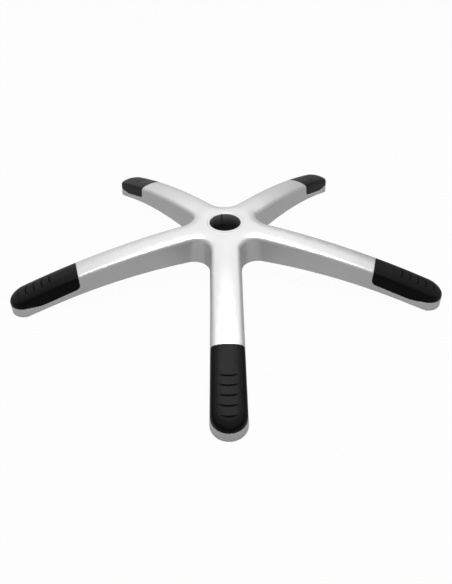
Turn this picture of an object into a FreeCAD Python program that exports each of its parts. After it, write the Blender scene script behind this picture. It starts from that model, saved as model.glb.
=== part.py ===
import FreeCAD
import Part
import Sketcher
import math
import os

# A five-armed chair base that stands on its arm tips. Z = 0 is the floor here, the hub is on
# the Z axis and the front arm lies along -Y. The whole model is lowered at the end, so that the
# frame's origin is the centre of the hub's mouth.

doc = FreeCAD.newDocument("StarBase")
vec = FreeCAD.Vector

# Driving dimensions, in millimetres and degrees
sheet = doc.addObject("Spreadsheet::Sheet", "Sizes")
sizes = {
    # Star in plan
    "arm_reach": 345,
    "arm_count": 5,
    "arm_half_width": 24,
    "arm_plan_taper": 0.8,
    "arm_root_overlap": 15,
    "wall_draft": 4,
    "web_radius": 26,
    # Top line of an arm, seen from its side
    "hub_height": 85,
    "hub_flat_radius": 40.3,
    "hub_shoulder_radius": 120,
    "arm_top_radius": 1240,
    "arm_tip_height": 23.3,
    # Crown across an arm
    "crown_run": 12,
    "crown_fall": 3.5,
    "crown_radius": 45,
    "shoulder_radius": 7,
    # Lower rim, seen from its side
    "rim_height": 40.2,
    "rim_flat_radius": 60,
    "rim_arc_radius": 875,
    "rim_foot_radius": 325.5,
    # Walls and stiffening
    "wall": 5,
    "top_wall": 7,
    "spine_thickness": 3.5,
    "rib_thickness": 3,
    "rib_recess": 3,
    "first_rib_radius": 92,
    "rib_pitch": 53,
    "rib_count": 4,
    # Hub tube and its taper sleeve
    "socket_radius": 25,
    "socket_land": 14,
    "socket_taper": 1.43,
    "sleeve_wall": 1.5,
    "sleeve_clearance": 0.05,
    "sleeve_seam": 0.8,
    "sleeve_seam_angle": 101.5,
    "collar_width": 1.6,
    "collar_height": 1.5,
    "hub_tube_wall": 6,
    "hub_tube_bottom": 28,
    # Caster sockets
    "caster_socket_radius": 5.5,
    "caster_socket_depth": 22,
    "caster_setback": 28,
    "caster_boss_radius": 11,
    "caster_boss_height": 10,
    "caster_lead_in": 0.8,
    # Foot pads
    "pad_inner_radius": 238.5,
    "pad_thickness": 2.2,
    "pad_clearance": 0.15,
    "pad_reveal": 0.25,
    "pad_corner_radius": 9,
    "pad_edge_slope": 15.6,
    "pad_edge_height": 14.6,
    "pad_level_radius": 306,
    "pad_bend_radius": 45,
    # Grip grooves across the pads
    "groove_count": 5,
    "groove_start": 281,
    "groove_pitch": 12.25,
    "groove_arc_radius": 36,
    "groove_cutter_radius": 1.25,
    "groove_depth": 1.05,
    # Barbed pegs under the pads
    "peg_radius": 3,
    "peg_clearance": 0.3,
    "peg_spread": 10.5,
    "peg_position": 268,
    "barb_radius": 3.8,
    "barb_length": 4,
    "barb_drop": 1.6,
    # How far the cutters reach past the solid
    "cut_margin": 10,
}
for row, (alias, value) in enumerate(sizes.items(), 1):
    sheet.set("A%d" % row, alias)
    sheet.set("B%d" % row, str(value))
    sheet.setAlias("B%d" % row, alias)
doc.recompute()


def size(alias):
    return float(sheet.get(alias))


def cell(alias):
    return "Sizes." + alias


# Helpers for bodies and sketches

def origin_feature(body, role):
    return [f for f in body.Origin.OriginFeatures if f.Role == role][0]


def new_sketch(body, role, name):
    sketch = body.newObject("Sketcher::SketchObject", name)
    sketch.AttachmentSupport = [(origin_feature(body, role), "")]
    sketch.MapMode = "FlatFace"
    return sketch


def constrain(sketch, *rules):
    for rule in rules:
        sketch.addConstraint(Sketcher.Constraint(*rule))


def dimension(sketch, name, expression, *rule):
    index = sketch.addConstraint(Sketcher.Constraint(*rule))
    sketch.renameConstraint(index, name)
    sketch.setExpression("Constraints." + name, expression)


def finish(body, feature):
    body.Tip = feature
    doc.recompute()
    return feature


def line(start, end):
    return Part.LineSegment(vec(*start, 0), vec(*end, 0))


def arc(centre, radius, start_angle, end_angle):
    circle = Part.Circle(vec(*centre, 0), vec(0, 0, 1), radius)
    return Part.ArcOfCircle(circle, start_angle, end_angle)


# Edges and faces are found by the way their faces look, not by number

def normal_at(face, point):
    return face.normalAt(*face.Surface.parameter(point))


def middle(edge):
    return edge.valueAt((edge.FirstParameter + edge.LastParameter) / 2)


def edges_between(shape, test):
    names = []
    for index, edge in enumerate(shape.Edges, 1):
        point = middle(edge)
        normals = [normal_at(face, point) for face in shape.ancestorsOfType(edge, Part.Face)]
        if len(normals) == 2 and test(point, normals):
            names.append("Edge%d" % index)
    return names


def wall_faces(shape):
    names = []
    for index, face in enumerate(shape.Faces, 1):
        first_u, last_u, first_v, last_v = face.ParameterRange
        if abs(face.normalAt((first_u + last_u) / 2, (first_v + last_v) / 2).z) < 0.1:
            names.append("Face%d" % index)
    return names


def top_meets_wall(point, normals):
    low, high = sorted(n.z for n in normals)
    return high > 0.7 and abs(low) < 0.3


def crown_crease(point, normals):
    return min(n.z for n in normals) > 0.7 and normals[0].getAngle(normals[1]) > math.radians(8)


def inner_corner(point, normals):
    return all(abs(n.z) < 0.3 for n in normals) and math.hypot(point.x, point.y) < 3 * size("web_radius")


def at_root(edge):
    return max(vertex.Y for vertex in edge.Vertexes) - min(vertex.Y for vertex in edge.Vertexes) < 1


# The star: one arm's plan, patterned round the hub, drafted, webbed and cut to its top line

def arm_plan(body, inset, whole_star):
    reach, half_width, taper = size("arm_reach"), size("arm_half_width"), math.radians(size("arm_plan_taper"))
    centre = half_width - reach
    side_x, side_y = half_width * math.cos(taper), centre - half_width * math.sin(taper)
    root_y = size("arm_root_overlap") if whole_star else -size("pad_inner_radius") / 2
    root_x = side_x + (root_y - side_y) * math.tan(taper)
    sketch = new_sketch(body, "XY_Plane", "ArmPlan")
    sketch.addGeometry([
        arc((0, centre), half_width, math.pi + taper, 2 * math.pi - taper),
        line((side_x, side_y), (root_x, root_y)),
        line((root_x, root_y), (-root_x, root_y)),
        line((-root_x, root_y), (-side_x, side_y)),
    ], False)
    constrain(sketch,
              ("Tangent", 0, 2, 1, 1), ("Coincident", 1, 2, 2, 1), ("Coincident", 2, 2, 3, 1),
              ("Tangent", 3, 2, 0, 1), ("Symmetric", 2, 1, 2, 2, -2), ("PointOnObject", 0, 3, -2))
    dimension(sketch, "noseCentre", cell("arm_reach") + " - " + cell("arm_half_width"),
              "DistanceY", 0, 3, -1, 1, reach - half_width)
    dimension(sketch, "noseRadius", cell("arm_half_width") + " - " + inset, "Radius", 0, half_width)
    if whole_star:
        dimension(sketch, "root", cell("arm_root_overlap"), "DistanceY", -1, 1, 2, 1, root_y)
    else:
        dimension(sketch, "root", cell("pad_inner_radius") + " / 2", "DistanceY", 2, 1, -1, 1, -root_y)
    dimension(sketch, "sideAngle", "90 deg - %s * 1 deg" % cell("arm_plan_taper"), "Angle", 1,
              math.pi / 2 - taper)
    return sketch


def top_line(body, inset):
    height, reach, tip = size("hub_height"), size("arm_reach"), size("arm_tip_height")
    flat, small, large = size("hub_flat_radius"), size("hub_shoulder_radius"), size("arm_top_radius")
    turn = (height - tip) / (reach - flat) - (reach - flat) / (2 * large)
    joint = (flat + small * math.sin(turn), height - small * (1 - math.cos(turn)))
    centre = (joint[0] - large * math.sin(turn), joint[1] - large * math.cos(turn))
    end = centre[1] + math.sqrt(large ** 2 - (reach - centre[0]) ** 2)
    end_angle = math.atan2(end - centre[1], reach - centre[0])
    top = height + 2 * size("cut_margin")
    sketch = new_sketch(body, "YZ_Plane", "TopLine")
    sketch.addGeometry([
        line((0, height), (flat, height)),
        arc((flat, height - small), small, math.pi / 2 - turn, math.pi / 2),
        arc(centre, large, end_angle, math.pi / 2 - turn),
        line((reach, end), (reach, top)),
        line((reach, top), (0, top)),
        line((0, top), (0, height)),
    ], False)
    constrain(sketch,
              ("PointOnObject", 0, 1, -2), ("Horizontal", 0), ("Tangent", 0, 2, 1, 2),
              ("Tangent", 1, 1, 2, 2), ("Coincident", 2, 1, 3, 1), ("Vertical", 3),
              ("Coincident", 3, 2, 4, 1), ("Horizontal", 4), ("Coincident", 4, 2, 5, 1),
              ("Coincident", 5, 2, 0, 1), ("Vertical", 5))
    dimension(sketch, "hubTop", "%s - %s" % (cell("hub_height"), inset), "DistanceY", -1, 1, 0, 1, height)
    dimension(sketch, "hubFlat", cell("hub_flat_radius"), "DistanceX", 0, 1, 0, 2, flat)
    dimension(sketch, "hubShoulder", cell("hub_shoulder_radius"), "Radius", 1, small)
    dimension(sketch, "armTop", cell("arm_top_radius"), "Radius", 2, large)
    dimension(sketch, "reach", cell("arm_reach"), "DistanceX", -1, 1, 2, 1, reach)
    dimension(sketch, "tipHeight", "%s - %s" % (cell("arm_tip_height"), inset),
              "DistanceY", -1, 1, 2, 1, end)
    dimension(sketch, "top", "%s + 2 * %s" % (cell("hub_height"), cell("cut_margin")),
              "DistanceY", -1, 1, 4, 2, top)
    return sketch


def rim_line(body, lift):
    height, flat = size("rim_height"), size("rim_flat_radius")
    radius, foot = size("rim_arc_radius"), size("rim_foot_radius")
    turn = 0.26
    bend = (flat + radius * math.sin(turn), height - radius * (1 - math.cos(turn)))
    low = -size("cut_margin")
    sketch = new_sketch(body, "YZ_Plane", "RimLine")
    sketch.addGeometry([
        line((0, height), (flat, height)),
        arc((flat, height - radius), radius, math.pi / 2 - turn, math.pi / 2),
        line(bend, (foot, 0)),
        line((foot, 0), (foot, low)),
        line((foot, low), (0, low)),
        line((0, low), (0, height)),
    ], False)
    constrain(sketch,
              ("PointOnObject", 0, 1, -2), ("Horizontal", 0), ("Tangent", 0, 2, 1, 2),
              ("Tangent", 1, 1, 2, 1), ("Coincident", 2, 2, 3, 1), ("Vertical", 3),
              ("Coincident", 3, 2, 4, 1), ("Horizontal", 4), ("Coincident", 4, 2, 5, 1),
              ("Coincident", 5, 2, 0, 1), ("Vertical", 5))
    dimension(sketch, "rimHeight", "%s + %s" % (cell("rim_height"), lift), "DistanceY", -1, 1, 0, 1, height)
    dimension(sketch, "rimFlat", cell("rim_flat_radius"), "DistanceX", 0, 1, 0, 2, flat)
    dimension(sketch, "rimArc", cell("rim_arc_radius"), "Radius", 1, radius)
    dimension(sketch, "foot", cell("rim_foot_radius"), "DistanceX", -1, 1, 2, 2, foot)
    dimension(sketch, "footHeight", "0 + " + lift, "DistanceY", -1, 1, 2, 2, 0.001)
    dimension(sketch, "low", cell("cut_margin"), "DistanceY", 4, 2, -1, 1, -low)
    return sketch


def revolved_cut(body, profile, name):
    before = body.Tip.Shape.Volume
    groove = body.newObject("PartDesign::Groove", name)
    groove.Profile = profile
    groove.ReferenceAxis = (profile, ["V_Axis"])
    groove.Angle = 360
    finish(body, groove)
    if groove.Shape.Volume >= before:
        raise RuntimeError(name + " cuts nothing")
    return groove


def around_hub(body, features, name):
    pattern = body.newObject("PartDesign::PolarPattern", name)
    pattern.Originals = features
    pattern.Axis = (origin_feature(body, "Z_Axis"), "")
    pattern.Angle = 360
    pattern.setExpression("Occurrences", cell("arm_count"))
    return finish(body, pattern)


def dress(body, kind, name, picked, **values):
    base = body.Tip
    feature = body.newObject("PartDesign::" + kind, name)
    feature.Base = (base, picked)
    if kind == "Chamfer":
        feature.ChamferType = "Two distances"
    if kind == "Draft":
        feature.NeutralPlane = (origin_feature(body, "XY_Plane"), "")
    for prop, expression in values.items():
        feature.setExpression(prop, expression)
    return finish(body, feature)


def caster_bosses(body):
    sketch = new_sketch(body, "XY_Plane", "BossOutline")
    setback, radius = size("arm_reach") - size("caster_setback"), size("caster_boss_radius")
    sketch.addGeometry([Part.Circle(vec(0, -setback, 0), vec(0, 0, 1), radius)], False)
    constrain(sketch, ("PointOnObject", 0, 3, -2))
    dimension(sketch, "setback", "%s - %s" % (cell("arm_reach"), cell("caster_setback")),
              "DistanceY", 0, 3, -1, 1, setback)
    dimension(sketch, "radius", cell("caster_boss_radius"), "Radius", 0, radius)
    doc.recompute()
    boss = body.newObject("PartDesign::Pad", "CasterBoss")
    boss.Profile = sketch
    boss.setExpression("Length", cell("caster_boss_height"))
    finish(body, boss)
    around_hub(body, [boss], "CasterBosses")


def arm_form(label, inset, whole_star=True, top_inset=None, rimmed=False, dressed=True, crowned=True):
    body = doc.addObject("PartDesign::Body", label)
    body.Label = label
    plan = arm_plan(body, inset, whole_star)
    doc.recompute()
    arm = body.newObject("PartDesign::Pad", "Arm")
    arm.Profile = plan
    arm.setExpression("Length", "%s + %s" % (cell("hub_height"), cell("cut_margin")))
    finish(body, arm)
    if whole_star:
        around_hub(body, [arm], "Arms")
    dress(body, "Draft", "WallDraft", wall_faces(body.Tip.Shape), Angle=cell("wall_draft"))
    if whole_star:
        dress(body, "Fillet", "Webs", edges_between(body.Tip.Shape, inner_corner),
              Radius="%s + %s" % (cell("web_radius"), inset))
    if rimmed:
        profile = rim_line(body, "0")
        doc.recompute()
        revolved_cut(body, profile, "RimCut")
        caster_bosses(body)
    profile = top_line(body, top_inset or inset)
    doc.recompute()
    top = revolved_cut(body, profile, "TopCut")
    if not dressed:
        return body
    outline = edges_between(top.Shape, top_meets_wall)
    if not whole_star:
        outline = [name for name in outline if not at_root(top.Shape.getElement(name))]
    dress(body, "Chamfer", "Crown", outline,
          Size=cell("crown_fall"), Size2="%s - 0.86 * %s" % (cell("crown_run"), inset))
    outline = edges_between(body.Tip.Shape, top_meets_wall)
    if not whole_star:
        outline = [name for name in outline if not at_root(body.Tip.Shape.getElement(name))]
    dress(body, "Fillet", "Shoulder", outline,
          Radius="%s - %s" % (cell("shoulder_radius"), inset))
    if crowned:
        dress(body, "Fillet", "CrownBlend", edges_between(body.Tip.Shape, crown_crease),
              Radius="%s - %s" % (cell("crown_radius"), inset))
    return body


def boolean(kind, label, base, tool):
    feature = doc.addObject("Part::" + kind, label)
    feature.Label = label
    feature.Base = base
    feature.Tool = tool
    feature.Refine = False
    doc.recompute()
    return feature


def fuse_all(label, shapes):
    feature = doc.addObject("Part::MultiFuse", label)
    feature.Shapes = shapes
    feature.Refine = False
    doc.recompute()
    return feature


def turned(label, shape, arm):
    feature = doc.addObject("Part::Feature", label)
    feature.Label = label
    feature.Shape = shape
    feature.Placement = FreeCAD.Placement(vec(), FreeCAD.Rotation(vec(0, 0, 1), arm_turn(arm)))
    return feature


def arm_turn(arm):
    return 360 / size("arm_count") * arm


def primitive(kind, label, position=(0, 0, 0), turn=0, **values):
    feature = doc.addObject("Part::" + kind, label)
    for prop, expression in values.items():
        feature.setExpression(prop, expression)
    place = FreeCAD.Placement(vec(*position), FreeCAD.Rotation())
    feature.Placement = FreeCAD.Placement(vec(), FreeCAD.Rotation(vec(0, 0, 1), turn)).multiply(place)
    return feature


def revolved_solid(label, profile):
    feature = doc.addObject("Part::Revolution", label)
    feature.Source = profile
    feature.Axis = vec(0, 0, 1)
    feature.Angle = 360
    feature.Solid = True
    return feature


# Outer form of the casting and the core that hollows it from below
outer = arm_form("OuterForm", "0", rimmed=True)
core = arm_form("CoreForm", cell("wall"), top_inset=cell("top_wall"), dressed=False)

# Stiffening inside the core: a spine along each arm, cross ribs, and a rib to each web. Their
# lower edges follow the rim, a little above it.
spine_start = size("socket_radius") + size("sleeve_wall") + size("hub_tube_wall") / 2
caster_radius = size("arm_reach") - size("caster_setback")
rib_radii = [size("first_rib_radius") + i * size("rib_pitch") for i in range(int(size("rib_count")))]
ribs = []
for arm in range(int(size("arm_count"))):
    turn = arm_turn(arm)
    ribs.append(primitive(
        "Box", "Spine%d" % arm, (-size("spine_thickness") / 2, -size("arm_reach"), 0), turn,
        Length=cell("spine_thickness"), Width="%s - %s" % (cell("arm_reach"), spine_start),
        Height=cell("hub_height")))
    ribs.append(primitive(
        "Box", "WebRib%d" % arm, (-size("rib_thickness") / 2, spine_start, 0), turn,
        Length=cell("rib_thickness"), Width="2 * " + cell("web_radius"), Height=cell("hub_height")))
    for number, radius in enumerate(rib_radii + [caster_radius]):
        ribs.append(primitive(
            "Box", "Rib%d_%d" % (arm, number),
            (-size("arm_half_width"), -radius - size("rib_thickness") / 2, 0), turn,
            Length="2 * " + cell("arm_half_width"), Width=cell("rib_thickness"),
            Height=cell("hub_height")))
rib_floor_body = doc.addObject("PartDesign::Body", "RibFloor")
rib_floor = rim_line(rib_floor_body, cell("rib_recess"))
doc.recompute()
rib_clearance = revolved_solid("RibClearance", rib_floor)
trimmed_ribs = boolean("Cut", "TrimmedRibs", fuse_all("Ribs", ribs), rib_clearance)

# Hub tube and caster bosses reach lower than the ribs
hub_tube = primitive(
    "Cylinder", "HubTube", (0, 0, size("hub_tube_bottom")),
    Radius="%s + %s + %s" % (cell("socket_radius"), cell("sleeve_wall"), cell("hub_tube_wall")),
    Height="%s - %s" % (cell("hub_height"), cell("hub_tube_bottom")))
bosses = [
    primitive("Cylinder", "CasterBoss%d" % arm, (0, -caster_radius, 0), arm_turn(arm),
              Radius=cell("caster_boss_radius"), Height=cell("hub_height"))
    for arm in range(int(size("arm_count")))
]
stiffening = fuse_all("Stiffening", [trimmed_ribs, hub_tube] + bosses)
hollow = boolean("Cut", "Hollow", core, stiffening)
blank = boolean("Cut", "CastingBlank", outer, hollow)

# Where the top line runs at a radius, and how steeply it falls there
top_arc = next(o for o in outer.Group if o.Name == "TopLine").Geometry[2]


def top_height(radius):
    reach = radius - top_arc.Center.x
    return top_arc.Center.y + math.sqrt(top_arc.Radius ** 2 - reach ** 2)


def top_fall(radius):
    return math.asin((radius - top_arc.Center.x) / top_arc.Radius)


# Foot pads: the region of the arm's end that a pad covers, in side view
def pad_region(label, grow):
    inner, level = size("pad_inner_radius"), size("pad_level_radius")
    corner, bend = size("pad_corner_radius"), size("pad_bend_radius")
    slope, edge = math.radians(size("pad_edge_slope")), size("pad_edge_height")
    outer_x, top = -size("arm_reach") - size("cut_margin"), size("hub_height")
    bend_centre = (-level, edge + bend)
    bend_end = (bend_centre[0] + bend * math.sin(slope), bend_centre[1] - bend * math.cos(slope))
    corner_x = -inner - corner
    line_height = bend_end[1] + (corner_x - bend_end[0]) * math.tan(slope)
    corner_centre = (corner_x, line_height + corner / math.cos(slope))
    corner_end = (corner_x + corner * math.sin(slope), corner_centre[1] - corner * math.cos(slope))
    body = doc.addObject("PartDesign::Body", label)
    body.Label = label
    sketch = new_sketch(body, "YZ_Plane", "PadOutline")
    sketch.addGeometry([
        line((-inner, top), (-inner, corner_centre[1])),
        arc(corner_centre, corner, slope - math.pi / 2, 0),
        line(bend_end, corner_end),
        arc(bend_centre, bend, -math.pi / 2, slope - math.pi / 2),
        line((-level, edge), (outer_x, edge)),
        line((outer_x, edge), (outer_x, top)),
        line((outer_x, top), (-inner, top)),
    ], False)
    constrain(sketch,
              ("Vertical", 0), ("Tangent", 0, 2, 1, 2), ("Tangent", 2, 2, 1, 1),
              ("Tangent", 2, 1, 3, 2), ("Tangent", 3, 1, 4, 1), ("Horizontal", 4),
              ("Coincident", 4, 2, 5, 1), ("Vertical", 5), ("Coincident", 5, 2, 6, 1),
              ("Horizontal", 6), ("Coincident", 6, 2, 0, 1))
    dimension(sketch, "inner", "%s - %s" % (cell("pad_inner_radius"), grow), "DistanceX", 0, 1, -1, 1, inner)
    dimension(sketch, "corner", "%s + %s" % (cell("pad_corner_radius"), grow), "Radius", 1, corner)
    dimension(sketch, "bend", cell("pad_bend_radius"), "Radius", 3, bend)
    dimension(sketch, "slope", "%s * 1 deg" % cell("pad_edge_slope"), "Angle", 2, slope)
    dimension(sketch, "edge", "%s - %s" % (cell("pad_edge_height"), grow), "DistanceY", -1, 1, 4, 1, edge)
    dimension(sketch, "level", cell("pad_level_radius"), "DistanceX", 4, 1, -1, 1, level)
    dimension(sketch, "outer", "%s + %s" % (cell("arm_reach"), cell("cut_margin")),
              "DistanceX", 4, 2, -1, 1, -outer_x)
    dimension(sketch, "top", cell("hub_height"), "DistanceY", -1, 1, 0, 1, top)
    doc.recompute()
    pad = body.newObject("PartDesign::Pad", "Across")
    pad.Profile = sketch
    pad.Midplane = True
    pad.setExpression("Length", "2 * (%s + %s)" % (cell("arm_half_width"), cell("cut_margin")))
    finish(body, pad)
    return body


pad_outer = arm_form("PadOuterForm", "0", whole_star=False)
pad_seat = arm_form("PadSeatForm", cell("pad_thickness"), whole_star=False, crowned=False)
pad_inner = arm_form("PadInnerForm", "(%s - %s)" % (cell("pad_thickness"), cell("pad_clearance")),
                     whole_star=False, crowned=False)
recess = boolean("Cut", "PadRecess", pad_region("RecessRegion", cell("pad_reveal")), pad_seat)

# Barbed pegs hold a pad from below; they stand in holes either side of the spine
barb_top = top_height(size("peg_position")) - size("top_wall") - size("barb_drop")
barb_bottom = barb_top - size("barb_length")
pegs = []
for side in (-1, 1):
    foot = (side * size("peg_spread"), -size("peg_position"), barb_bottom)
    pegs.append(primitive("Cylinder", "Peg", foot, Radius=cell("peg_radius"), Height=cell("hub_height")))
    pegs.append(primitive("Cone", "Barb", foot, Radius1="%s - 1" % cell("peg_radius"),
                          Radius2=cell("barb_radius"), Height=cell("barb_length")))
pad_hollow = boolean("Cut", "PadHollow", pad_inner, fuse_all("Pegs", pegs))
pad_blank = boolean("Cut", "PadBlank", boolean("Common", "PadSolid", pad_outer, pad_region("PadRegion", "0")),
                    pad_hollow)

# Grip grooves: five ring cutters laid on the pad's top, their arcs bowed outwards
grooves = []
for number in range(int(size("groove_count"))):
    radius = size("groove_start") + number * size("groove_pitch")
    fall = top_fall(radius)
    normal = vec(0, -math.sin(fall), math.cos(fall))
    outward = vec(0, -math.cos(fall), -math.sin(fall))
    across = normal.cross(outward)
    surface = vec(0, -radius, top_height(radius))
    centre = surface + normal * (size("groove_cutter_radius") - size("groove_depth"))
    centre = centre - outward * size("groove_arc_radius")
    half = math.radians(40)
    first = outward * math.cos(half) - across * math.sin(half)
    groove = doc.addObject("Part::Torus", "Groove%d" % number)
    groove.setExpression("Radius1", cell("groove_arc_radius"))
    groove.setExpression("Radius2", cell("groove_cutter_radius"))
    groove.Angle3 = math.degrees(2 * half)
    groove.Placement = FreeCAD.Placement(centre, FreeCAD.Rotation(first, normal.cross(first), normal))
    grooves.append(groove)
pad_shape = boolean("Cut", "PadShape", pad_blank, fuse_all("Grooves", grooves))

# Taper sleeve: a collared steel liner, and the hole in the hub tube that it sits in. A corner of
# a turned profile is its radius and its height, as expressions of the sheet.
mouth = cell("hub_height")
land_foot = "%s - %s" % (mouth, cell("socket_land"))
tube_foot = cell("hub_tube_bottom")
socket_foot = "%s - (%s - %s) * tan(%s * 1 deg)" % (
    cell("socket_radius"), land_foot, tube_foot, cell("socket_taper"))
collar_foot = "%s - %s" % (mouth, cell("collar_height"))
sleeve_out = " + " + cell("sleeve_wall")
collar_out = sleeve_out + " + " + cell("collar_width")
hole_out = " + " + cell("sleeve_clearance")
above = "%s + %s" % (mouth, cell("cut_margin"))
below = "%s - %s" % (tube_foot, cell("cut_margin"))


def turned_body(label, corners):
    body = doc.addObject("PartDesign::Body", label)
    body.Label = label
    sketch = new_sketch(body, "XZ_Plane", "Profile")
    points = [tuple(float(sheet.evalExpression(text)) for text in corner) for corner in corners]
    last = len(points)
    sketch.addGeometry([line(points[i], points[(i + 1) % last]) for i in range(last)], False)
    constrain(sketch, *[("Coincident", i, 2, (i + 1) % last, 1) for i in range(last)])
    for i, (radius, height) in enumerate(corners):
        if radius == "0":
            constrain(sketch, ("PointOnObject", i, 1, -2))
        else:
            dimension(sketch, "radius%d" % i, radius, "DistanceX", -1, 1, i, 1, points[i][0])
        dimension(sketch, "height%d" % i, height, "DistanceY", -1, 1, i, 1, points[i][1])
    doc.recompute()
    revolution = body.newObject("PartDesign::Revolution", "Turned")
    revolution.Profile = sketch
    revolution.ReferenceAxis = (sketch, ["V_Axis"])
    revolution.Angle = 360
    finish(body, revolution)
    return body


liner = turned_body("Liner", [
    (socket_foot, tube_foot),
    (socket_foot + sleeve_out, tube_foot),
    (cell("socket_radius") + sleeve_out, land_foot),
    (cell("socket_radius") + sleeve_out, collar_foot),
    (cell("socket_radius") + collar_out, collar_foot),
    (cell("socket_radius") + collar_out, mouth),
    (cell("socket_radius"), mouth),
    (cell("socket_radius"), land_foot),
])
liner_hole = turned_body("LinerHole", [
    ("0", below),
    (socket_foot + sleeve_out + hole_out, below),
    (socket_foot + sleeve_out + hole_out, tube_foot),
    (cell("socket_radius") + sleeve_out + hole_out, land_foot),
    (cell("socket_radius") + sleeve_out + hole_out, collar_foot),
    (cell("socket_radius") + collar_out + hole_out, collar_foot),
    (cell("socket_radius") + collar_out + hole_out, above),
    ("0", above),
])
seam = primitive("Box", "Seam", (0, -size("sleeve_seam") / 2, 0), size("sleeve_seam_angle"),
                 Length="2 * " + cell("socket_radius"), Width=cell("sleeve_seam"), Height=above)
taper_sleeve = boolean("Cut", "taper_sleeve", liner, seam)

# What is cut from the casting: the liner's hole, the caster sockets, the pad recesses and the
# holes for their pegs
cutters = [liner_hole]
for arm in range(int(size("arm_count"))):
    turn = arm_turn(arm)
    cutters.append(turned("PadRecess%d" % arm, recess.Shape, arm))
    cutters.append(primitive("Cylinder", "CasterSocket%d" % arm, (0, -caster_radius, 0), turn,
                             Radius=cell("caster_socket_radius"), Height=cell("caster_socket_depth")))
    cutters.append(primitive("Cone", "CasterLeadIn%d" % arm, (0, -caster_radius, 0), turn,
                             Radius1="%s + %s" % (cell("caster_socket_radius"), cell("caster_lead_in")),
                             Radius2=cell("caster_socket_radius"), Height=cell("caster_lead_in")))
    for side in (-1, 1):
        cutters.append(primitive("Cylinder", "PegHole%d" % arm,
                                 (side * size("peg_spread"), -size("peg_position"), 0), turn,
                                 Radius="%s + %s" % (cell("peg_radius"), cell("peg_clearance")),
                                 Height=cell("hub_height")))
star_base = boolean("Cut", "star_base", blank, fuse_all("Cutters", cutters))

# The pieces, lowered so that the hub's mouth is at the origin
arm_names = ["front", "right_front", "right_back", "left_back", "left_front"]
pads = []
for arm in range(int(size("arm_count"))):
    name = arm_names[arm] if arm < len(arm_names) else "arm_%d" % (arm + 1)
    pads.append(turned("foot_pad_" + name, pad_shape.Shape, arm))
pieces = [star_base, taper_sleeve] + pads
for piece in pieces:
    place = piece.Placement
    place.Base = vec(0, 0, -size("hub_height"))
    piece.Placement = place
doc.recompute()

for feature in doc.Objects:
    if "Invalid" in feature.State or "Error" in feature.State:
        raise RuntimeError("%s failed: %s" % (feature.Label, feature.State))
for piece in pieces:
    if piece.Shape.isNull() or not piece.Shape.isValid() or len(piece.Shape.Solids) != 1:
        raise RuntimeError(piece.Label + " is not one valid solid")

os.makedirs("parts", exist_ok=True)
for piece in pieces:
    piece.Shape.exportStep("parts/%s.step" % piece.Label)
    print("%-22s %9.0f cubic mm, %d faces" % (piece.Label, piece.Shape.Volume, len(piece.Shape.Faces)))
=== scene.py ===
import math

import bmesh
import bpy
import numpy as np
from mathutils import Matrix, Vector


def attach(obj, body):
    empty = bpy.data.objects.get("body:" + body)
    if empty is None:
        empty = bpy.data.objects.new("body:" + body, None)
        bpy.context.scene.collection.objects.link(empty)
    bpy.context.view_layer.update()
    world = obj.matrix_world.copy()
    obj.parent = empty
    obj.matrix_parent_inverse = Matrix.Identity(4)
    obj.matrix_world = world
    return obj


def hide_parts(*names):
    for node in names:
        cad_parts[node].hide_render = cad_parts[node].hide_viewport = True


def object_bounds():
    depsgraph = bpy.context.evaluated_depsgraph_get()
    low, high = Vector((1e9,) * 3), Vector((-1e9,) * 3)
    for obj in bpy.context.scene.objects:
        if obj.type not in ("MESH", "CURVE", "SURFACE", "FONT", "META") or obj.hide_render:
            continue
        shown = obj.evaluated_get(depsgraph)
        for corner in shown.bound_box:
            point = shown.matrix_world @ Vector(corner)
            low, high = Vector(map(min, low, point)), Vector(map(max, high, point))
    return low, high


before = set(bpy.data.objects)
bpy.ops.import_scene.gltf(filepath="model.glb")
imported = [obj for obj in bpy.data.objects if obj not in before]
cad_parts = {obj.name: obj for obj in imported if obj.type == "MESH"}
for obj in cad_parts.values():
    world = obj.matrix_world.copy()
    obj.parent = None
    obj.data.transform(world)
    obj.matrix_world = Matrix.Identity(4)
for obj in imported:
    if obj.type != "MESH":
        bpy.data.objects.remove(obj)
cadBox = [list(corner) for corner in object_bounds()]
floorHeight = cadBox[0][2]                  # the tips stand here, and the hub's mouth is at z = 0
print("frame loaded, floor at z = %.4f" % floorHeight)


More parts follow.
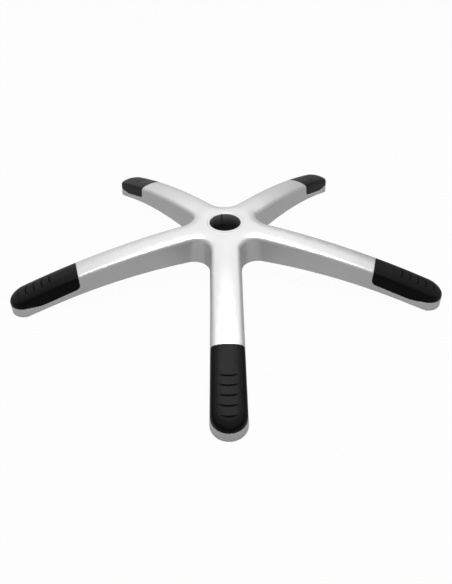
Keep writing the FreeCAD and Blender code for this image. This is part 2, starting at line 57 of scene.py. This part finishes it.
# Adds nodes to a material or to the world by type, and sets or links their sockets by name
class NodeBoard:
    def __init__(self, owner):
        owner.use_nodes = True
        self.owner = owner
        self.tree = owner.node_tree
        self.surface = self.tree.nodes.get("Principled BSDF")
        self.coordinates = self.add("ShaderNodeTexCoord").outputs
        self.place = self.coordinates["Object"]

    def add(self, kind, inputs=None, **settings):
        node = self.tree.nodes.new(kind)
        for name, value in settings.items():
            setattr(node, name, value)
        for name, value in (inputs or {}).items():
            self.put(node.inputs[name], value)
        return node

    def put(self, socket, value):
        if isinstance(value, bpy.types.NodeSocket):
            self.tree.links.new(value, socket)
        else:
            socket.default_value = value

    def fill(self, **sockets):              # an underscore stands for the space in a socket's name
        for name, value in sockets.items():
            self.put(self.surface.inputs[name.replace("_", " ")], value)
        return self.owner

    def finish(self, output, shader):
        self.put(self.tree.nodes[output].inputs["Surface"], shader)

    def noise(self, scale, detail, roughness=0.5, place=None):
        inputs = {"Vector": self.place if place is None else place,
                  "Scale": scale, "Detail": detail, "Roughness": roughness}
        return self.add("ShaderNodeTexNoise", inputs).outputs["Fac"]

    def spread(self, value, low, high, start=0.0, end=1.0):
        inputs = {"Value": value, "From Min": start, "From Max": end, "To Min": low, "To Max": high}
        return self.add("ShaderNodeMapRange", inputs).outputs["Result"]

    def math(self, operation, first, second=0.0):
        inputs = {0: first, 1: second}
        return self.add("ShaderNodeMath", inputs, operation=operation).outputs["Value"]

    def cosine(self, direction, aim):       # of the angle between a direction and the aim
        inputs = {0: direction, 1: Vector(aim).normalized()}
        return self.add("ShaderNodeVectorMath", inputs, operation="DOT_PRODUCT").outputs["Value"]

    def reach(self):                        # distance from the hub's axis
        flat = self.add("ShaderNodeVectorMath", {0: self.place, 1: (1.0, 1.0, 0.0)},
                        operation="MULTIPLY").outputs["Vector"]
        return self.add("ShaderNodeVectorMath", {0: flat}, operation="LENGTH").outputs["Value"]

    def split(self, place):
        return self.add("ShaderNodeSeparateXYZ", {"Vector": place}).outputs

    def blendColours(self, factor, first, second):
        node = self.add("ShaderNodeMix", {"Factor": factor}, data_type="RGBA")
        self.put(node.inputs[6], first)     # the A and B sockets of colours
        self.put(node.inputs[7], second)
        return node.outputs[2]

    def bump(self, height, distance, strength, under=None):
        inputs = {"Height": height, "Distance": distance, "Strength": strength}
        if under is not None:
            inputs["Normal"] = under
        return self.add("ShaderNodeBump", inputs).outputs["Normal"]

    def mixShaders(self, factor, first, second):
        return self.add("ShaderNodeMixShader", {0: factor, 1: first, 2: second}).outputs["Shader"]

    def background(self, level):
        inputs = {"Color": grey(1.0), "Strength": level}
        return self.add("ShaderNodeBackground", inputs).outputs["Background"]


def newMaterial(name):
    return NodeBoard(bpy.data.materials.new(name))


def grey(level):
    return (level, level, level, 1.0)


# Satin silver coat on the casting
coatSettings = {
    "colour": (0.75, 0.75, 0.755, 1.0),
    "paleColour": (0.79, 0.79, 0.795, 1.0),
    "cloudScale": 14.0,                     # slow drift of tone and gloss over an arm
    "metallic": 0.45,
    "roughLow": 0.21,
    "roughHigh": 0.27,
    "flakeScale": 1900.0,                   # metal flakes, about half a millimetre apart
    "flakeDepth": 0.00002,
    "peelScale": 260.0,                     # orange peel of the cured coat
    "peelDepth": 0.00006,
    "edgeRadius": 0.0018,                   # how far the shading softens the casting's edges
    "boreColour": (0.05, 0.05, 0.05, 1.0),  # nearly black inside the bore's radius, behind the sleeve
    "boreRadius": 0.0275,
    "boreBlend": 0.0003,
}


def castCoat():
    look = coatSettings
    board = newMaterial("silverCoat")
    clouds = board.noise(look["cloudScale"], detail=3.0)
    flakes = board.noise(look["flakeScale"], detail=1.0)
    peel = board.noise(look["peelScale"], detail=2.0)
    rounded = board.add("ShaderNodeBevel", {"Radius": look["edgeRadius"]}, samples=8).outputs["Normal"]
    normal = board.bump(peel, look["peelDepth"], strength=0.5, under=rounded)
    normal = board.bump(flakes, look["flakeDepth"], strength=0.5, under=normal)
    rough = board.spread(board.math("ADD", clouds, flakes), look["roughLow"], look["roughHigh"],
                         start=0.6, end=1.4)
    pale = board.spread(clouds, 0.0, 1.0, start=0.35, end=0.65)
    colour = board.blendColours(pale, look["colour"], look["paleColour"])
    inBore = board.spread(board.reach(), 1.0, 0.0, start=look["boreRadius"],
                          end=look["boreRadius"] + look["boreBlend"])
    return board.fill(Base_Color=board.blendColours(inBore, colour, look["boreColour"]),
                      Metallic=look["metallic"], Roughness=rough, Normal=normal)


# Moulded black plastic of the pads, with a fine spark grain and painted shade in the grip grooves
padSettings = {
    "colour": (0.002, 0.002, 0.0022, 1.0),
    "paleColour": (0.0035, 0.0035, 0.0037, 1.0),
    "cloudScale": 60.0,
    "specular": 0.10,
    "roughLow": 0.30,
    "roughHigh": 0.38,
    "grooveReach": 0.0030,                  # how near a wall has to be for painted shade in a grip groove
    "grooveShade": 6.0,                     # and how steeply the painted shade falls
    "grainScale": 1300.0,
    "grainDepth": 0.00005,
}


def padPlastic():
    look = padSettings
    board = newMaterial("blackPlastic")
    clouds = board.noise(look["cloudScale"], detail=3.0)
    grain = board.noise(look["grainScale"], detail=3.0, roughness=0.6)
    # painted shade: ambient occlusion dims the pad's gloss in the grip grooves and beside walls
    grooveShadeFactor = board.add("ShaderNodeAmbientOcclusion", {"Distance": look["grooveReach"]}, samples=8)
    grooveShadeFactor = board.math("POWER", grooveShadeFactor.outputs["AO"], look["grooveShade"])
    return board.fill(
        Base_Color=board.blendColours(clouds, look["colour"], look["paleColour"]),
        Specular_IOR_Level=board.math("MULTIPLY", grooveShadeFactor, look["specular"]),
        Roughness=board.spread(clouds, look["roughLow"], look["roughHigh"], start=0.3, end=0.7),
        Normal=board.bump(grain, look["grainDepth"], strength=0.7))


# Rolled steel of the sleeve, nearly black down the bore, with painted light near the mouth
sleeveSettings = {
    "colour": (0.045, 0.045, 0.046, 1.0),
    "paleColour": (0.07, 0.07, 0.072, 1.0),
    "stainScale": 90.0,
    # painted light: the bore is paler near the mouth and fades to the steel's own dark colour deeper
    # down
    "mouthLightColour": (0.70, 0.70, 0.71, 1.0),
    "mouthLightDepth": 0.022,
    "mouthLightFade": 1.6,                       # how steeply the painted light near the mouth ends
    "faceColour": (0.70, 0.70, 0.71, 1.0),  # the collar's face is turned bright
    "faceDepth": 0.0008,
    "metallic": 0.6,
    "roughLow": 0.35,
    "roughHigh": 0.55,
    "seamColour": (0.01, 0.01, 0.01, 1.0),
    "seamAngle": 101.5,                     # degrees from +X, where the rolled liner's ends meet
    "seamWidth": 0.0010,
    "turningScale": 900.0,                  # tool marks round the bore
    "turningStretch": (0.02, 0.02, 1.0),
    "turningDepth": 0.00002,
}


def turnedSteel():
    look = sleeveSettings
    board = newMaterial("turnedSteel")
    stretched = board.add("ShaderNodeMapping",
                          {"Vector": board.place, "Scale": look["turningStretch"]}).outputs["Vector"]
    marks = board.noise(look["turningScale"], detail=2.0, place=stretched)
    stain = board.spread(board.noise(look["stainScale"], detail=4.0, roughness=0.6), 0.0, 1.0,
                         start=0.35, end=0.7)
    colour = board.blendColours(stain, look["colour"], look["paleColour"])
    height = board.split(board.place)["Z"]
    # painted light near the mouth, fading towards the depth of the bore
    mouthLight = board.spread(height, 0.0, 1.0, start=-look["mouthLightDepth"], end=-look["faceDepth"])
    mouthLight = board.math("POWER", mouthLight, look["mouthLightFade"])
    colour = board.blendColours(mouthLight, colour, look["mouthLightColour"])

    # the seam lies along +X once the place is turned back by its angle
    turned = board.add("ShaderNodeMapping",
                       {"Vector": board.place,
                        "Rotation": (0.0, 0.0, -math.radians(look["seamAngle"]))}).outputs["Vector"]
    turned = board.split(turned)
    offSeam = board.math("ABSOLUTE", turned["Y"])
    onSeam = board.spread(offSeam, 1.0, 0.0, start=0.5 * look["seamWidth"], end=look["seamWidth"])
    onSeam = board.math("MULTIPLY", onSeam, board.math("GREATER_THAN", turned["X"]))
    colour = board.blendColours(onSeam, colour, look["seamColour"])

    onFace = board.spread(height, 0.0, 1.0, start=-look["faceDepth"], end=-0.5 * look["faceDepth"])
    return board.fill(
        Base_Color=board.blendColours(onFace, colour, look["faceColour"]),
        Metallic=look["metallic"],
        Roughness=board.spread(marks, look["roughLow"], look["roughHigh"], start=0.3, end=0.7),
        Normal=board.bump(marks, look["turningDepth"], strength=0.6))


pieceSettings = {
    "mergeDistance": 1e-6,
    "normalWeight": 50,                     # large faces lead where a fillet runs into them
    "castEdge": 24,                         # degrees past which two faces meet in a real edge
    "sleeveEdge": 30,
    "padEdge": 24,
}


# A CAD node's own surface, with its triangles merged and shaded smooth between its real edges
def smoothCopy(node, name, material, edgeAngle):
    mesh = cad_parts[node].data.copy()
    mesh.name = name
    form = bmesh.new()
    form.from_mesh(mesh)
    bmesh.ops.remove_doubles(form, verts=form.verts, dist=pieceSettings["mergeDistance"])
    form.to_mesh(mesh)
    form.free()
    if "custom_normal" in mesh.attributes:  # these belong to the corners before the merge
        mesh.attributes.remove(mesh.attributes["custom_normal"])
    mesh.materials.clear()
    mesh.materials.append(material)
    mesh.polygons.foreach_set("use_smooth", np.ones(len(mesh.polygons), bool))
    mesh.set_sharp_from_angle(angle=math.radians(edgeAngle))
    piece = bpy.data.objects.new(name, mesh)
    bpy.context.scene.collection.objects.link(piece)
    weights = piece.modifiers.new("faceWeights", "WEIGHTED_NORMAL")
    weights.keep_sharp = True
    weights.weight = pieceSettings["normalWeight"]
    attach(piece, "root")
    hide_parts(node)


coat, plastic, steel = castCoat(), padPlastic(), turnedSteel()
print("materials made")

smoothCopy("star_base", "castStar", coat, pieceSettings["castEdge"])
smoothCopy("taper_sleeve", "taperSleeve", steel, pieceSettings["sleeveEdge"])
padNodes = [node for node in sorted(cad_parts) if node.startswith("foot_pad_")]
for node in padNodes:
    name = node.replace("foot_pad_", "gripPad_")
    smoothCopy(node, name, plastic, pieceSettings["padEdge"])
print("casting, sleeve and %d pads made" % len(padNodes))


floorSettings = {
    "size": 12.0,
    "drop": 0.0002,                         # keeps the tips' flat bottoms clear of the floor
    "level": 0.42,
    "dustLevel": 0.41,
    "dustScale": 6.0,
    "roughness": 0.8,
    "glow": 0.975,                          # how far the camera sees the floor as plain white
    "sheen": 0.24,                          # and how far the coat mirrors it so
}


def buildFloor():
    look = floorSettings
    half, level = look["size"] / 2, floorHeight - look["drop"]
    corners = [(-half, -half, level), (half, -half, level), (half, half, level), (-half, half, level)]
    mesh = bpy.data.meshes.new("floor")
    mesh.from_pydata(corners, [], [(0, 1, 2, 3)])
    floor = bpy.data.objects.new("floor", mesh)
    bpy.context.scene.collection.objects.link(floor)

    board = newMaterial("paleFloor")
    dust = board.noise(look["dustScale"], detail=3.0)
    board.fill(Base_Color=board.blendColours(dust, grey(look["dustLevel"]), grey(look["level"])),
               Roughness=look["roughness"])
    glow = board.add("ShaderNodeEmission", {"Color": grey(1.0), "Strength": 1.0}).outputs["Emission"]
    path = board.add("ShaderNodeLightPath").outputs
    mirrored = board.math("ADD", path["Is Glossy Ray"], path["Is Transmission Ray"])
    seen = board.math("ADD", board.math("MULTIPLY", path["Is Camera Ray"], look["glow"]),
                      board.math("MULTIPLY", mirrored, look["sheen"]))
    shown = board.mixShaders(seen, board.surface.outputs["BSDF"], glow)
    fromBelow = board.add("ShaderNodeNewGeometry").outputs["Backfacing"]
    clear = board.add("ShaderNodeBsdfTransparent").outputs["BSDF"]
    board.finish("Material Output", board.mixShaders(fromBelow, shown, clear))  # clear from below
    mesh.materials.append(board.owner)


# White to the camera. The coat mirrors a panel behind the base, and a dark flag beside it
skySettings = {
    "plainLevel": 0.12,                     # what every other ray meets
    "panelAim": (0.0, 0.60, 0.80),
    "panelPeak": 1.5,
    "panelLevels": [                        # cosine from that direction, level mirrored there
        (-0.3, 0.30), (0.2, 0.52), (0.5, 0.68), (0.78, 0.85), (0.88, 1.30), (1.0, 1.50),
    ],
    "flagAim": (0.60, 0.80, 0.0),           # low behind, on the right
    "flagCosines": (0.80, 1.0),             # from its soft edge to its middle
    "flagLevel": 0.3,                       # share of the level that its middle lets through
}


def buildWorld():
    look = skySettings
    bpy.context.scene.world = bpy.data.worlds.new("studio")
    board = NodeBoard(bpy.context.scene.world)
    direction = board.coordinates["Generated"]
    toward = board.spread(board.cosine(direction, look["panelAim"]), 0.0, 1.0, start=-1.0, end=1.0)
    ramp = board.add("ShaderNodeValToRGB", {"Fac": toward})
    ramp.color_ramp.interpolation = "B_SPLINE"
    while len(ramp.color_ramp.elements) < len(look["panelLevels"]):
        ramp.color_ramp.elements.new(0.5)
    for stop, (cosine, level) in zip(ramp.color_ramp.elements, look["panelLevels"]):
        stop.position, stop.color = 0.5 + 0.5 * cosine, grey(level / look["panelPeak"])
    sky = board.math("MULTIPLY", ramp.outputs["Color"], look["panelPeak"])
    softEdge, middle = look["flagCosines"]
    past = board.spread(board.cosine(direction, look["flagAim"]), 1.0, look["flagLevel"],
                        start=softEdge, end=middle)
    sky = board.math("MULTIPLY", sky, past)

    path = board.add("ShaderNodeLightPath").outputs
    level = board.add("ShaderNodeMix", {"Factor": path["Is Camera Ray"], "A": sky, "B": 1.0})
    seen = board.math("ADD", path["Is Camera Ray"], path["Is Glossy Ray"])
    seen = board.math("ADD", seen, path["Is Transmission Ray"])
    board.finish("World Output", board.mixShaders(
        seen, board.background(look["plainLevel"]), board.background(level.outputs["Result"])))


lampSettings = {
    "place": (0.0, -0.05, 2.0),
    "size": 2.0,
    "watts": 33.0,
}


def buildLamp():
    light = bpy.data.lights.new("softbox", "AREA")
    light.shape, light.size, light.energy = "DISK", lampSettings["size"], lampSettings["watts"]
    lamp = bpy.data.objects.new("softbox", light)
    lamp.location = lampSettings["place"]
    lamp.rotation_euler = Vector(lampSettings["place"]).to_track_quat("Z", "Y").to_euler()  # to the hub
    bpy.context.scene.collection.objects.link(lamp)


cameraSettings = {
    "place": (0.0, -0.6811, 0.5103),        # from the point of the floor under the hub
    "down": 39.93,
    "yaw": 0.007,
    "roll": -0.72,
    "turn": -0.33,                          # the whole view about the hub's axis
    "focal": 500.0,                         # in pixels of a picture of this size
    "frame": (452, 584),
    "sensor": 36.0,
    "clip": (0.01, 50.0),
}


def buildCamera():
    view = cameraSettings
    down, yaw, roll = (math.radians(view[key]) for key in ("down", "yaw", "roll"))
    forward = Vector((math.sin(yaw) * math.cos(down), math.cos(yaw) * math.cos(down), -math.sin(down)))
    right = Vector((math.cos(yaw), -math.sin(yaw), 0.0))
    up = right.cross(forward)
    right, up = (right * math.cos(roll) + up * math.sin(roll),
                 up * math.cos(roll) - right * math.sin(roll))
    pose = Matrix((right, up, -forward)).transposed().to_4x4()
    pose.translation = Vector(view["place"]) + Vector((0.0, 0.0, floorHeight))
    lens = bpy.data.cameras.new("camera")
    lens.sensor_width = view["sensor"]
    lens.sensor_fit = "AUTO"
    lens.lens = view["sensor"] * view["focal"] / max(view["frame"])
    lens.clip_start, lens.clip_end = view["clip"]
    camera = bpy.data.objects.new("camera", lens)
    camera.matrix_world = Matrix.Rotation(math.radians(view["turn"]), 4, "Z") @ pose
    bpy.context.scene.collection.objects.link(camera)
    bpy.context.scene.camera = camera


buildFloor()
buildWorld()
buildLamp()
buildCamera()
bpy.context.scene.view_settings.view_transform = "Standard"
print("studio set")
